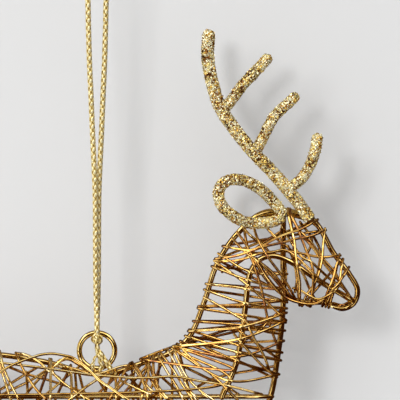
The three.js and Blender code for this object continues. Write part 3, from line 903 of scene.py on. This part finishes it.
# %% Routes of the head's wires
HEAD_FANS = [
    [(288, 205), (288, 214), (291, 228), (294, 240), (295.3, 254), (297.5, 269), (299.5, 282), (299, 304)],
    [(290, 205), (290.5, 214), (297, 228), (302, 240), (308.5, 257), (312.5, 269), (313, 282), (311, 304)],
    [(217, 259), (235, 256), (248, 252), (262, 247), (282, 242.5), (295, 239), (310, 236), (324, 232)],
    [(224, 247), (240, 249), (251, 250), (264, 244.5), (276, 238), (288, 233), (300, 229.5), (318, 221)],
    [(217, 263), (232, 261), (246, 258), (258, 254), (270, 252), (286, 251), (304, 254), (320, 257),
     (340, 257)],
]
HEAD_BANDS = [
    [(323, 230), (323, 245), (322, 258), (319, 272), (314, 284), (307, 294), (303, 304)],
    [(342, 260), (341, 270), (339.5, 280), (335, 288), (329, 308)],
    [(338, 256), (336, 266), (333, 278), (328, 290), (322, 304)],
    [(349, 268), (344, 275), (338, 283), (331, 294), (326, 307)],
]
HEAD_LAID = [
    [(232, 238), (240, 247), (250, 256), (261, 263), (272, 272), (281, 283), (289, 294), (294, 301)],
    [(237, 232), (247, 246), (255, 261), (262, 274), (270, 284), (280, 293), (293, 301)],
    [(252, 218), (256, 235), (263, 249), (270, 260), (279, 272), (287, 284), (296, 300)],
    [(289, 209), (299, 230), (310, 241), (318, 252), (326, 262), (333, 270), (341, 283), (349, 295),
     (353, 302)],
    [(287, 236), (302, 257), (311, 262), (320, 270), (330, 279), (343, 288), (354, 302)],
    [(244, 229), (247, 245), (250, 255), (254, 265), (258, 277), (263, 296), (268, 320), (279, 350)],
    [(248, 253), (257, 261), (265, 274), (275, 287), (285, 297), (297, 302), (312, 304), (322, 300),
     (330, 294)],
    [(256, 258), (265, 268), (276, 281), (284, 291), (291, 300)],
    [(245, 230), (252, 237), (262, 244), (269, 252)],
    [(261, 221), (276, 238), (285, 245), (293, 252)],
    [(293, 288), (300, 290), (308, 295), (317, 299), (325, 297), (334, 291), (341, 283)],
    [(325, 303), (335, 307.5), (345, 308), (353, 303)],
    [(333, 303), (342, 305), (350, 301.5)],
    [(346, 270), (339, 282), (331, 291), (324, 302)],
    [(303, 237), (313, 248), (320, 258), (330, 271), (341, 283)],
    [(252, 253), (270, 252.5), (284, 250), (296, 257), (306, 266), (316, 276), (330, 288), (350, 301)],
    [(296, 262), (304, 276), (310, 290), (316, 301)],
    [(281, 229), (281.5, 240), (282, 256)],
]
HEAD_FAR = [
    [(222, 272), (240, 262), (262, 244), (280, 232)],
    [(285, 258), (286, 275), (285, 292)],
    [(288, 246), (294, 262), (297, 280), (295, 292)],
    [(300, 222), (312, 240), (306, 256), (300, 264)],
    [(313, 235), (320, 250), (319, 268), (314, 288)],
]
print("head wires", len(HEAD_FANS) + len(HEAD_BANDS) + len(HEAD_LAID) + len(HEAD_FAR))

# %% Head
random = np.random.default_rng(5)
head_shells = [
    wind([from_pixels(route) for route in HEAD_FANS], random, lift=0.9, tone=(0.0, 0.55)),
    wind([from_pixels(route) for route in HEAD_BANDS], random, lift=0.7, tone=(0.0, 0.5)),
    *laid(HEAD_LAID, random, tone=(-0.1, 0.5)),
    # The far wires take the darker tones: painted shade.
    *laid(HEAD_FAR, random, face=1, tone=far_shade_tone),
]
make_piece("wound_head", head_shells, wire_gold, ["head_winding"])

# %% [markdown]
# The body has the most wires. The steep ones come in groups that cross, and a few long ones lie
# lengthwise over them. The picture stops above the belly, so a route that reaches its lower edge is
# carried straight on to the belly rod. Behind the picture's left edge the wires are made by rule:
# evenly spaced, with a lean that varies from wire to wire.

# %% Routes of the body's wires
BODY_STEEP = [
    [(-4, 352), (2, 370), (12, 400)],
    [(50.5, 361), (51, 372), (51, 384), (51, 400)],
    [(132, 364), (141, 373), (143.5, 382), (147, 390), (148, 400)],
    [(162, 355), (175, 372), (183, 385), (194, 400)],
    [(0, 352), (5, 370), (20, 400)],
    [(72.5, 362), (72.5, 400)],
    [(151, 359), (148, 375), (145, 386), (141, 400)],
    [(170, 353), (180, 371), (188, 387), (198, 400)],
    [(15, 353), (21, 364), (28, 376.5), (38, 390), (48, 400)],
    [(116.5, 370), (116.5, 400)],
    [(154, 358), (154, 372), (157.5, 384), (162, 400)],
    [(175, 351), (186, 375), (198, 388), (214, 400)],
    [(50, 360), (54, 373), (76, 391), (90, 400)],
    [(130, 364), (122, 376), (117, 386), (109, 400)],
    [(158, 357), (169, 374), (177, 386), (184, 400)],
    [(180, 349), (196, 362), (214, 376), (238, 400)],
]
BODY_LAID = [
    [(-86, 374), (-40, 360), (0, 362.5), (46, 368), (98, 375), (145, 377.5), (175, 376), (198, 380),
     (232, 386), (262, 394)],
    [(-50, 430), (-20, 390), (0, 372), (14, 364), (32, 357), (42, 354), (53, 353), (63, 354.5), (73, 357),
     (88, 368), (98, 378), (114, 389), (129.5, 400), (170, 428)],
    [(40, 420), (74, 396), (84, 388), (96, 380), (105, 375), (113, 371)],
    [(16, 353), (24, 354), (32, 357), (40, 362), (47, 369), (60, 378)],
    [(48, 371), (55, 366), (62, 360), (68, 356.5), (75, 359)],
    [(50, 366), (58, 362), (68, 359), (78, 364), (88, 371), (96, 374)],
    [(54, 366), (66, 367), (80, 370), (95, 374), (108, 371), (122, 366), (134, 365)],
    [(60, 364), (72, 368), (84, 372), (96, 376)],
    [(120, 380), (131, 385), (142, 390), (157, 396)],
    [(132, 365), (140, 376), (150, 388), (158, 394)],
    [(150, 366), (156, 382), (170, 400), (180, 410)],
    [(146, 364), (150, 377), (160, 392), (172, 402)],
]
BODY_FAR = [
    [(-12, 396), (0, 390), (23, 376), (38, 367)],
    [(0, 396), (16, 388), (30, 381), (45, 371), (52, 366)],
    [(20, 402), (27, 393), (38, 380), (48, 371), (60, 360)],
    [(8, 367), (28, 375), (49, 381), (70, 388), (90, 396)],
    [(40, 400), (56, 386), (70, 374), (80, 366)],
    [(75, 372), (76, 392), (77, 402)],
    [(78.6, 372), (83.5, 393), (86, 402)],
    [(96, 376), (107, 395), (112, 402)],
    [(121, 370), (134, 383), (143, 393), (150, 400)],
    [(26, 372), (27, 396)],
    [(126, 402), (131, 388), (134, 372)],
    [(160, 376), (174, 389), (186, 400)],
    [(182, 366), (196, 373), (210, 380), (224, 386), (240, 396)],
    [(196, 388), (212, 380), (230, 375), (252, 371), (276, 366)],
]
print("body wires", len(BODY_STEEP) + len(BODY_LAID) + len(BODY_FAR))

# %% Body
BELLY_ROW = 436
wound_together = 4
play = 0.8
back_height, belly_height = -0.5, -20.8
feet_from, feet_to = -42, 38


def to_belly(route):
    """The route from its high end down. If it leaves the picture, its last stretch is carried on in
    a straight line to the belly."""
    route = np.asarray(route, float)
    if route[0, 1] > route[-1, 1]:
        route = route[::-1]
    if route[-1, 1] < PICTURE:
        return route
    run = route[-1] - route[-2]
    return np.vstack([route, route[-1] + run * (BELLY_ROW - route[-1, 1]) / run[1]])


def leaning_routes(count, x_from, x_to, lean, random):
    """Straight passes from the back at x to the belly at x + lean, evenly spaced with a little play."""
    x = np.linspace(x_from, x_to, count) + random.uniform(-play, play, count)
    feet = np.clip(x + random.uniform(*lean, count), feet_from, feet_to)
    return [[(top, back_height), (foot, belly_height)] for top, foot in zip(x, feet)]


random = np.random.default_rng(11)
rear_shells = [
    wind(leaning_routes(10, -42, -26, (-1, 5), random), random, tone=(0.2, 0.8)),
    wind(leaning_routes(8, -25, -42, (-6, 2), random), random, lift=1.0, tone=(0.2, 0.8)),
]
make_piece("wound_body_rear", rear_shells, wire_gold, ["body_winding"])
steep_routes = [from_pixels(to_belly(route)) for route in BODY_STEEP]
front_shells = [
    wind(steep_routes[first:first + wound_together], random, lift=0.9)
    for first in range(0, len(steep_routes), wound_together)
]
front_shells += laid([to_belly(route) for route in BODY_LAID], random, lift=1.2, tone=(0.3, 0.9))
# The far face's wires take darker tones: painted shade.
front_shells += laid([to_belly(route) for route in BODY_FAR], random, face=1, tone=(0.0, 0.7))
make_piece("wound_body_front", front_shells, wire_gold)

# %% [markdown]
# The legs lie below the picture, so they are finished plainly in the same way: one rod bent into a
# long narrow loop, welded under the belly rod, with thin wire wound round both of its lines. A
# winding's section is a slot: two half circles joined by straight sides, which a squeezed circle
# comes close to.

# %% Lines of the legs
LEGS = {
    "foreleg": (
        (39.8, 27.6),
        [(38.4, -30), (36.9, -39), (36.5, -46), (35.9, -57), (35.7, -67)],
        [(37.3, -74.2), (35.2, -75.2), (33.3, -72.6)],
        [(33.4, -66), (33.5, -56), (33.0, -46), (31.4, -37), (29, -29)],
    ),
    "hindleg": (
        (-27.4, -42),
        [(-30.6, -30), (-36, -38), (-39.6, -44), (-40.2, -51), (-39.6, -60), (-38.8, -68)],
        [(-37.2, -74.2), (-39.4, -75.2), (-41.4, -72.6)],
        [(-42, -65), (-42.8, -56), (-44.6, -47.5), (-44.6, -42), (-43.4, -34), (-42.4, -27)],
    ),
}
sole = -75.2
belly_middle, belly_play = -19, 4
weld_drop = np.array([0, 0, 0.62 * frame_rod + weld_gap])
leg_stub = np.array([0, 0, 2])


def under_belly(side, x):
    """The weld's place: the belly rod's point at x, moved down so far that the leg's round end sinks
    into that rod."""
    rod = chest_rods[side][np.abs(chest_rods[side][:, 2] - belly_middle) < belly_play]
    at = np.abs(rod[:, 0] - x).argmin()
    return rod[at] - weld_drop


def leg_line(side, tops, down, hoof, up):
    """From the front weld down, round the hoof and up to the rear weld. The distance from the middle
    plane goes evenly with the height, from the weld's to the hoof's."""
    front, back = (under_belly(side, x) for x in tops)
    flat = np.array(down + hoof + up)
    spread = front[1] + (side * hoof_spread / 2 - front[1]) * (front[2] - flat[:, 1]) / (front[2] - sole)
    middle = np.stack([flat[:, 0], spread, flat[:, 1]], axis=1)
    return smooth_line(np.vstack([front, front - leg_stub, middle, back - leg_stub, back]))


print("leg line", len(leg_line(1, *LEGS["foreleg"])), "points")

# %% Legs
leg_turns = 17
turn_points = 34
winding_top, winding_foot = -27.5, -68.5
slot_power = 0.8
second_share, second_phase = 0.6, 1.5


def leg_winding(line, turns, phase, random):
    """Point = middle of the two lines + cos a * half their gap forward + sin a * the bearing sideways,
    with the half gap grown by the bearing, for a from the top to above the hoof."""
    lowest = line[:, 2].argmin()
    angle = np.linspace(0, 2 * np.pi * turns, int(abs(turns) * turn_points))
    level = np.linspace(winding_top, winding_foot, len(angle)) + 0.5 * np.sin(angle * 0.37 + phase)
    fore, aft = line[:lowest][::-1], line[lowest:]
    fore_x, aft_x = (np.interp(level, part[:, 2], part[:, 0]) for part in (fore, aft))
    y = np.interp(level, fore[:, 2], fore[:, 1])
    reach = np.abs(fore_x - aft_x) / 2 + bearing
    ahead, aside = np.cos(angle + phase), np.sin(angle + phase)
    slot = np.sign(ahead) * np.abs(ahead) ** slot_power
    path = np.stack([(fore_x + aft_x) / 2 + reach * slot, y + bearing * aside, level], axis=1)
    out = np.stack([ahead, aside, 0 * angle], axis=1)
    return tube(path, wire_radius, out, sides=wire_sides, tone=random.uniform(0.3, 0.8))


random = np.random.default_rng(3)
for side, word in ((1, "left"), (-1, "right")):
    for leg, lines in LEGS.items():
        line = leg_line(side, *lines)
        rod = tube(line, rod_radius, (0, 1, 0), sides=14, tone=0.5)
        make_piece(f"{leg}_rod_{word}", [rod], rod_gold, [f"{leg}_{word}"])
        wires = [
            leg_winding(line, leg_turns, 0, random),
            leg_winding(line, -leg_turns * second_share, second_phase, random),
        ]
        make_piece(f"wound_{leg}_{word}", wires, wire_gold, [f"{leg}_winding_{word}"])

# %% [markdown]
# Antlers and ears are rods rolled in glue and glitter. A chip is a low pyramid on four corners, so its four
# upper facets catch the light at different turns. Thousands of them lie on the rod, each tilted its own
# way. The rod beneath is lumpy and painted dark as shade, and shows only between the chips. A particle
# system could scatter them, but arrays give each chip its own tone and keep the mesh plain.

# %% Chips
lump_height = 0.06
chip_size = (0.34, 0.62)
chip_tilt = 0.46
corner_play = 0.3
chip_sink = 0.05
tip_rise = (0.05, 0.16)


def coat_relief(random):
    """Lumps: a sum of sines along and round the rod."""
    waves = random.uniform(0, 2 * np.pi, 4)

    def relief(along, angle):
        """Height of the lumps, in mm."""
        return lump_height * (
            np.sin(3.1 * along + 2 * angle + waves[0])
            + np.sin(5.3 * along - 3 * angle + waves[1])
            + np.sin(8.7 * along + 5 * angle + waves[2]) * np.cos(2.2 * along + waves[3])
        )

    return relief


def chips(centres, normals, random):
    """Low pyramids, five corners each: centre + (+-a u +- b v), each corner moved a little, and a tip
    raised along n off the middle. n is the surface's normal tilted at random, and u, v lie across it.
    The tones are mostly near 0 or near 1, with few between."""
    count = len(centres)
    tilt = unit(normals + random.normal(0, chip_tilt, (count, 3)))
    spin = unit(random.normal(0, 1, (count, 3)))
    u = unit(np.cross(tilt, spin))
    v = np.cross(tilt, u)
    half = random.uniform(*chip_size, (count, 2)) / 2
    corner = np.array([(-1, -1), (1, -1), (1, 1), (-1, 1)], float)
    spread = corner[None] + random.uniform(-corner_play, corner_play, (count, 4, 2))
    spread *= half[:, None]
    base = centres[:, None] + spread[..., :1] * u[:, None] + spread[..., 1:] * v[:, None]
    off = random.uniform(-0.5, 0.5, (count, 2)) * half
    tip = centres + off[:, :1] * u + off[:, 1:] * v + tilt * random.uniform(*tip_rise, (count, 1))
    points = np.concatenate([base - tilt[:, None] * chip_sink, tip[:, None]], axis=1)
    start = 5 * np.arange(count)[:, None, None]
    quads = (np.array([(3, 2, 1, 0)])[None] + start).reshape(-1, 4)
    triangles = (np.array([(0, 1, 4), (1, 2, 4), (2, 3, 4), (3, 0, 4)])[None] + start).reshape(-1, 3)
    tone = np.repeat(random.beta(0.55, 0.36, count), 5)
    return shell(points.reshape(-1, 3), quads, tone, np.zeros(5 * count), triangles, faceted=True)


print("chips from", chip_size[0], "to", chip_size[1], "mm")

# %% Coated rod
chips_per_mm2 = 11
core_share = 0.86
seat_share = (0.88, 0.97)


def glitter_rod(line, radius, random, closed=False):
    """The lumpy rod, and chips spread evenly over its length and round it, with more at an open tip.
    Centre = line + radius * seat share * normal."""
    relief = coat_relief(random)
    # Tone 0.1 paints the core dark, as shade between the chips.
    core = tube(line, radius * core_share, (0, 1, 0), sides=16, closed=closed, tone=0.1, relief=relief)
    direction = tangents(line, closed)
    length = np.linalg.norm(np.diff(line, axis=0), axis=1).sum()
    count = int(length * 2 * np.pi * radius * chips_per_mm2)
    at = random.uniform(0, len(line) - 1, count)
    low = at.astype(int)
    share = (at - low)[:, None]
    centre = line[low] * (1 - share) + line[(low + 1) % len(line)] * share
    side = unit(np.cross(direction[low], (0, 1, 0)))
    up = np.cross(direction[low], side)
    angle = random.uniform(0, 2 * np.pi, (count, 1))
    normal = np.cos(angle) * side + np.sin(angle) * up
    shells = [core]
    if not closed:
        tip_count = int(2 * np.pi * radius**2 * chips_per_mm2)
        tip = unit(random.normal(0, 1, (tip_count, 3)))
        tip *= np.sign((tip * direction[-1]).sum(axis=1, keepdims=True))
        centre = np.vstack([centre, np.broadcast_to(line[-1], tip.shape)])
        normal = np.vstack([normal, tip])
    rise = radius * random.uniform(*seat_share, (len(centre), 1))
    shells.append(chips(centre + normal * rise, normal, random))
    return shells


print(chips_per_mm2, "chips on each square millimetre")

# %% [markdown]
# Each antler is a beam with three tines, drawn flat and then splayed outwards from its foot by a
# fixed angle, and the other one is its mirror image. Each ear is a pointed loop laid back from the
# poll, splayed more. Both are welded beside the outline rod. A mirrored place is computed, not
# made with a negative scale, so faces keep pointing out.

# %% Lines of the antlers and ears
BEAM = [
    (53.1, 33.05), (49.5, 38), (44.7, 43.7), (38.8, 49.9), (33, 57.2), (30.5, 61.5), (28.4, 68.6),
    (27.7, 73.5), (27.95, 79.3),
]
TINES = [
    [(31.6, 60.2), (34, 63.1), (36.2, 66.1), (39.5, 69.6), (43.2, 73.6)],
    [(39.6, 49.4), (41.6, 53.4), (44.4, 58.6), (47.8, 61.8), (50, 64)],
    [(47.2, 40.4), (50.5, 42.3), (53.2, 46.2), (54.7, 50.6), (55.1, 53.4)],
]
EAR = [
    (46.2, 33.8), (42.6, 38.8), (39.4, 41.3), (36.6, 42.5), (33.4, 42.7), (31.3, 41.6), (30.4, 39.9),
    (30.6, 37.7), (31.8, 35.5), (33.7, 33.9), (35.8, 32.6), (38.2, 31.9), (41.4, 31.9), (44.2, 32.3),
]
coat_step = 0.4
steps_cut_off_tips = (2, 3, 3, 1)
thicknesses = (antler_beam, antler_tine, antler_tine, antler_tine)
LINES_OF_ANTLER = list(zip([BEAM, *TINES], thicknesses, steps_cut_off_tips))
antler_splay = np.tan(np.radians(12))
ear_splay = np.tan(np.radians(27))
pair_gap = 0.1
antler_stand = rod_radius + antler_beam / 2 + weld_gap
ear_stand = (pair_gap + frame_rod) / 2 + rod_radius + ear_rod / 2 + weld_gap
print("mm from the middle plane: antlers", round(antler_stand, 2), "ears", round(ear_stand, 2))

# %% Antlers and ears
def splayed(flat, side, stand, away):
    """y = side * (stand + away), with the distance away growing from the root."""
    flat = np.asarray(flat, float)
    return np.stack([flat[:, 0], side * (stand + away), flat[:, 1]], axis=1)


random = np.random.default_rng(17)
for side, word in ((1, "left"), (-1, "right")):
    shells = []
    for flat, thickness, cut in LINES_OF_ANTLER:
        flat = np.array(flat)
        away = antler_splay * (flat[:, 1] - BEAM[0][1])
        line = smooth_line(splayed(flat, side, antler_stand, away), step=coat_step)
        shells += glitter_rod(line[:-cut], thickness / 2, random)
    make_piece(f"glitter_antler_{word}", shells, glitter, [f"antler_{word}"])
    flat = np.array(EAR)
    away = ear_splay * (EAR[0][0] - flat[:, 0])
    line = smooth_line(splayed(flat, side, ear_stand, away), step=coat_step, closed=True)
    shells = glitter_rod(line, ear_rod / 2, random, closed=True)
    make_piece(f"glitter_ear_{word}", shells, glitter, [f"ear_{word}"])

# %% [markdown]
# The stage is a pale wall close behind the deer, which catches its soft shadow, and a pale floor far
# below. The wall shows only from the front: its back faces are clear, so views from behind see past
# it. Neither is seen in the metal, because on the real one the wires mirror a dark studio with a few
# bright boxes in it, and a pale wall close by would wash their dark lines out.

# %% Wall and floor
wall_behind = 30.0
stage_half = 900.0
floor_below = 260.0
floor_level = ring_centre[2] - floor_below


def stage_plane(name, corners, clear_behind):
    """A square of matt pale paint with four corners. Where it is clear from behind, a shader that is
    picked by the side seen lets the light straight through."""
    mesh = bpy.data.meshes.new(name)
    mesh.from_pydata((corners * MM).tolist(), [], [(0, 1, 2, 3)])
    material, shader = new_material(name, 0.0, 0.9, specular=0.1)
    tint = ramp(material, noise(material, 300, detail=1), [(0.3, (0.74,)), (0.7, (0.78,))])
    link(material, tint, shader.inputs["Base Color"])
    if clear_behind:
        geometry = add(material, "ShaderNodeNewGeometry")
        clear = add(material, "ShaderNodeBsdfTransparent")
        mix = add(material, "ShaderNodeMixShader")
        link(material, geometry.outputs["Backfacing"], mix.inputs["Fac"])
        link(material, shader.outputs["BSDF"], mix.inputs[1])
        link(material, clear.outputs["BSDF"], mix.inputs[2])
        link(material, mix.outputs["Shader"], material.node_tree.nodes["Material Output"].inputs["Surface"])
    mesh.materials.append(material)
    plane = bpy.data.objects.new(name, mesh)
    plane.visible_glossy = False
    bpy.context.scene.collection.objects.link(plane)
    print(name, "across", 2 * stage_half, "mm")


left_right = np.array([-1, 1, 1, -1]) * stage_half
low_high = np.array([floor_level, floor_level, stage_half, stage_half])
near_far = np.array([-1, -1, 1, 1]) * stage_half
stage_plane("pale_wall", np.stack([left_right, np.full(4, wall_behind), low_high], axis=1), True)
stage_plane("pale_floor", np.stack([left_right, near_far, np.full(4, floor_level)], axis=1), False)

# %% [markdown]
# Two lamps light the wall and the soft things. The smaller one stands a little to the left and above,
# so the deer's shadow falls to its right and below, and is soft because the lamp has a width. The
# wide one only fills. The metal doesn't see them: a wire is a curved mirror, and its lines of light
# are easier to place with boxes drawn on the sky.

# %% Lamps
KEY_LEFT = np.radians(17.6)
KEY_UP = np.radians(10.4)
key_direction = (-np.tan(KEY_LEFT), -1, np.tan(KEY_UP) / np.cos(KEY_LEFT))
fill_direction = (-0.3, -0.8, 0.6)


def soft_light(name, direction, distance, width, power):
    """A round area light that faces the deer's middle: place = middle + distance * direction."""
    target = (ring_centre + [middle_x, 0, middle_z]) * MM
    light = bpy.data.lights.new(name, "AREA")
    light.shape = "ELLIPSE"
    light.size = width
    light.size_y = width
    light.energy = power
    lamp = bpy.data.objects.new(name, light)
    lamp.visible_glossy = False
    direction = unit(np.asarray(direction, float))
    lamp.location = target + direction * distance
    heading = np.arctan2(direction[0], -direction[1])
    lamp.rotation_euler = (np.pi / 2 - np.arcsin(direction[2]), 0, heading)
    bpy.context.scene.collection.objects.link(lamp)
    print(name, "at", [round(v, 3) for v in lamp.location])


soft_light("key", key_direction, distance=1.9, width=0.42, power=10.6)
soft_light("wide_fill", fill_direction, distance=1.6, width=1.4, power=3.4)

# %% [markdown]
# What the metal mirrors is drawn on the sky: a dark studio with a tall box at the left, one at the
# right that is parted at half its height, a level one above, and a rim of light from behind at the far
# left. Each box is a product of three ramps, over how far across, how high and how far in front a
# direction lies, which costs no lamp and makes no noise. All rays that aren't mirrored see an even
# grey instead, so these boxes leave the wall as it is.

# %% Sky directions and sums
world = bpy.data.worlds.new("studio_dome")
bpy.context.scene.world = world
world.use_nodes = True


def product(first, second):
    """Two greys or colours multiplied."""
    node = add(world, "ShaderNodeMixRGB", blend_type="MULTIPLY")
    node.inputs["Fac"].default_value = 1
    link(world, first, node.inputs["Color1"])
    link(world, second, node.inputs["Color2"])
    return node.outputs["Color"]


def total(first, second, share):
    """The first colour plus a share of the second, which may be above one."""
    node = add(world, "ShaderNodeVectorMath", operation="MULTIPLY_ADD")
    link(world, second, node.inputs[0])
    node.inputs[1].default_value = share
    link(world, first, node.inputs[2])
    return node.outputs["Vector"]


looking = add(world, "ShaderNodeTexCoord")
halved = add(world, "ShaderNodeVectorMath", operation="MULTIPLY_ADD")
link(world, looking.outputs["Generated"], halved.inputs[0])
halved.inputs[1].default_value = (0.5, 0.5, 0.5)
halved.inputs[2].default_value = (0.5, 0.5, 0.5)
split = add(world, "ShaderNodeSeparateXYZ")
link(world, halved.outputs["Vector"], split.inputs["Vector"])
across, depth, height = (split.outputs[axis] for axis in "XYZ")
print("sky numbers", [output.name for output in (across, depth, height)])

# %% Softboxes that only the metal sees
EVEN_GREY = (0.70, 0.70, 0.70, 1)
FRONT = [(0.44, (1,)), (0.56, (0,))]
BEHIND = [(0.50, (0,)), (0.56, (1,))]


def softbox(across_stops, height_stops, depth_stops, sky, power):
    """The sky plus a box whose sides are soft: the product of three ramps, times its power."""
    box = product(ramp(world, across, across_stops), ramp(world, height, height_stops))
    return total(sky, product(box, ramp(world, depth, depth_stops)), power)


studio = ramp(world, height, [
    (0.3, (0.05, 0.016, 0.002)), (0.5, (0.05, 0.017, 0.003)), (0.72, (0.10, 0.05, 0.015)),
    (1.0, (0.3, 0.25, 0.2)),
])
LEFT_ACROSS = [(0.14, (0,)), (0.165, (1,)), (0.235, (1,)), (0.26, (0,))]
LEFT_HEIGHT = [(0.08, (0,)), (0.14, (1,)), (0.86, (1,)), (0.92, (0,))]
RIGHT_ACROSS = [(0.68, (0,)), (0.70, (1,)), (0.79, (1,)), (0.81, (0,))]
RIGHT_HEIGHT = [
    (0.15, (0,)), (0.20, (1,)), (0.40, (1,)), (0.44, (0,)),
    (0.60, (0,)), (0.64, (1,)), (0.86, (1,)), (0.92, (0,)),
]
TOP_ACROSS = [(0.12, (0,)), (0.22, (1,)), (0.80, (1,)), (0.88, (0,))]
TOP_HEIGHT = [(0.70, (0,)), (0.73, (1,)), (0.87, (1,)), (0.91, (0,))]
RIM_ACROSS = [(0.07, (1,)), (0.10, (0,))]
RIM_HEIGHT = [(0.2, (0,)), (0.3, (1,)), (0.7, (1,)), (0.8, (0,))]
studio = softbox(LEFT_ACROSS, LEFT_HEIGHT, FRONT, studio, (3.8, 3.7, 3.55))
studio = softbox(RIGHT_ACROSS, RIGHT_HEIGHT, FRONT, studio, (1.7, 1.65, 1.6))
studio = softbox(TOP_ACROSS, TOP_HEIGHT, FRONT, studio, (2.2, 2.15, 2.05))
studio = softbox(RIM_ACROSS, RIM_HEIGHT, BEHIND, studio, (1.8, 1.75, 1.6))
ray = add(world, "ShaderNodeLightPath")
seen = add(world, "ShaderNodeMixRGB")
seen.inputs["Color1"].default_value = EVEN_GREY
link(world, studio, seen.inputs["Color2"])
link(world, ray.outputs["Is Glossy Ray"], seen.inputs["Fac"])
link(world, seen.outputs["Color"], world.node_tree.nodes["Background"].inputs["Color"])
bpy.context.scene.view_settings.view_transform = "Standard"
print("sky", len(world.node_tree.nodes), "nodes")
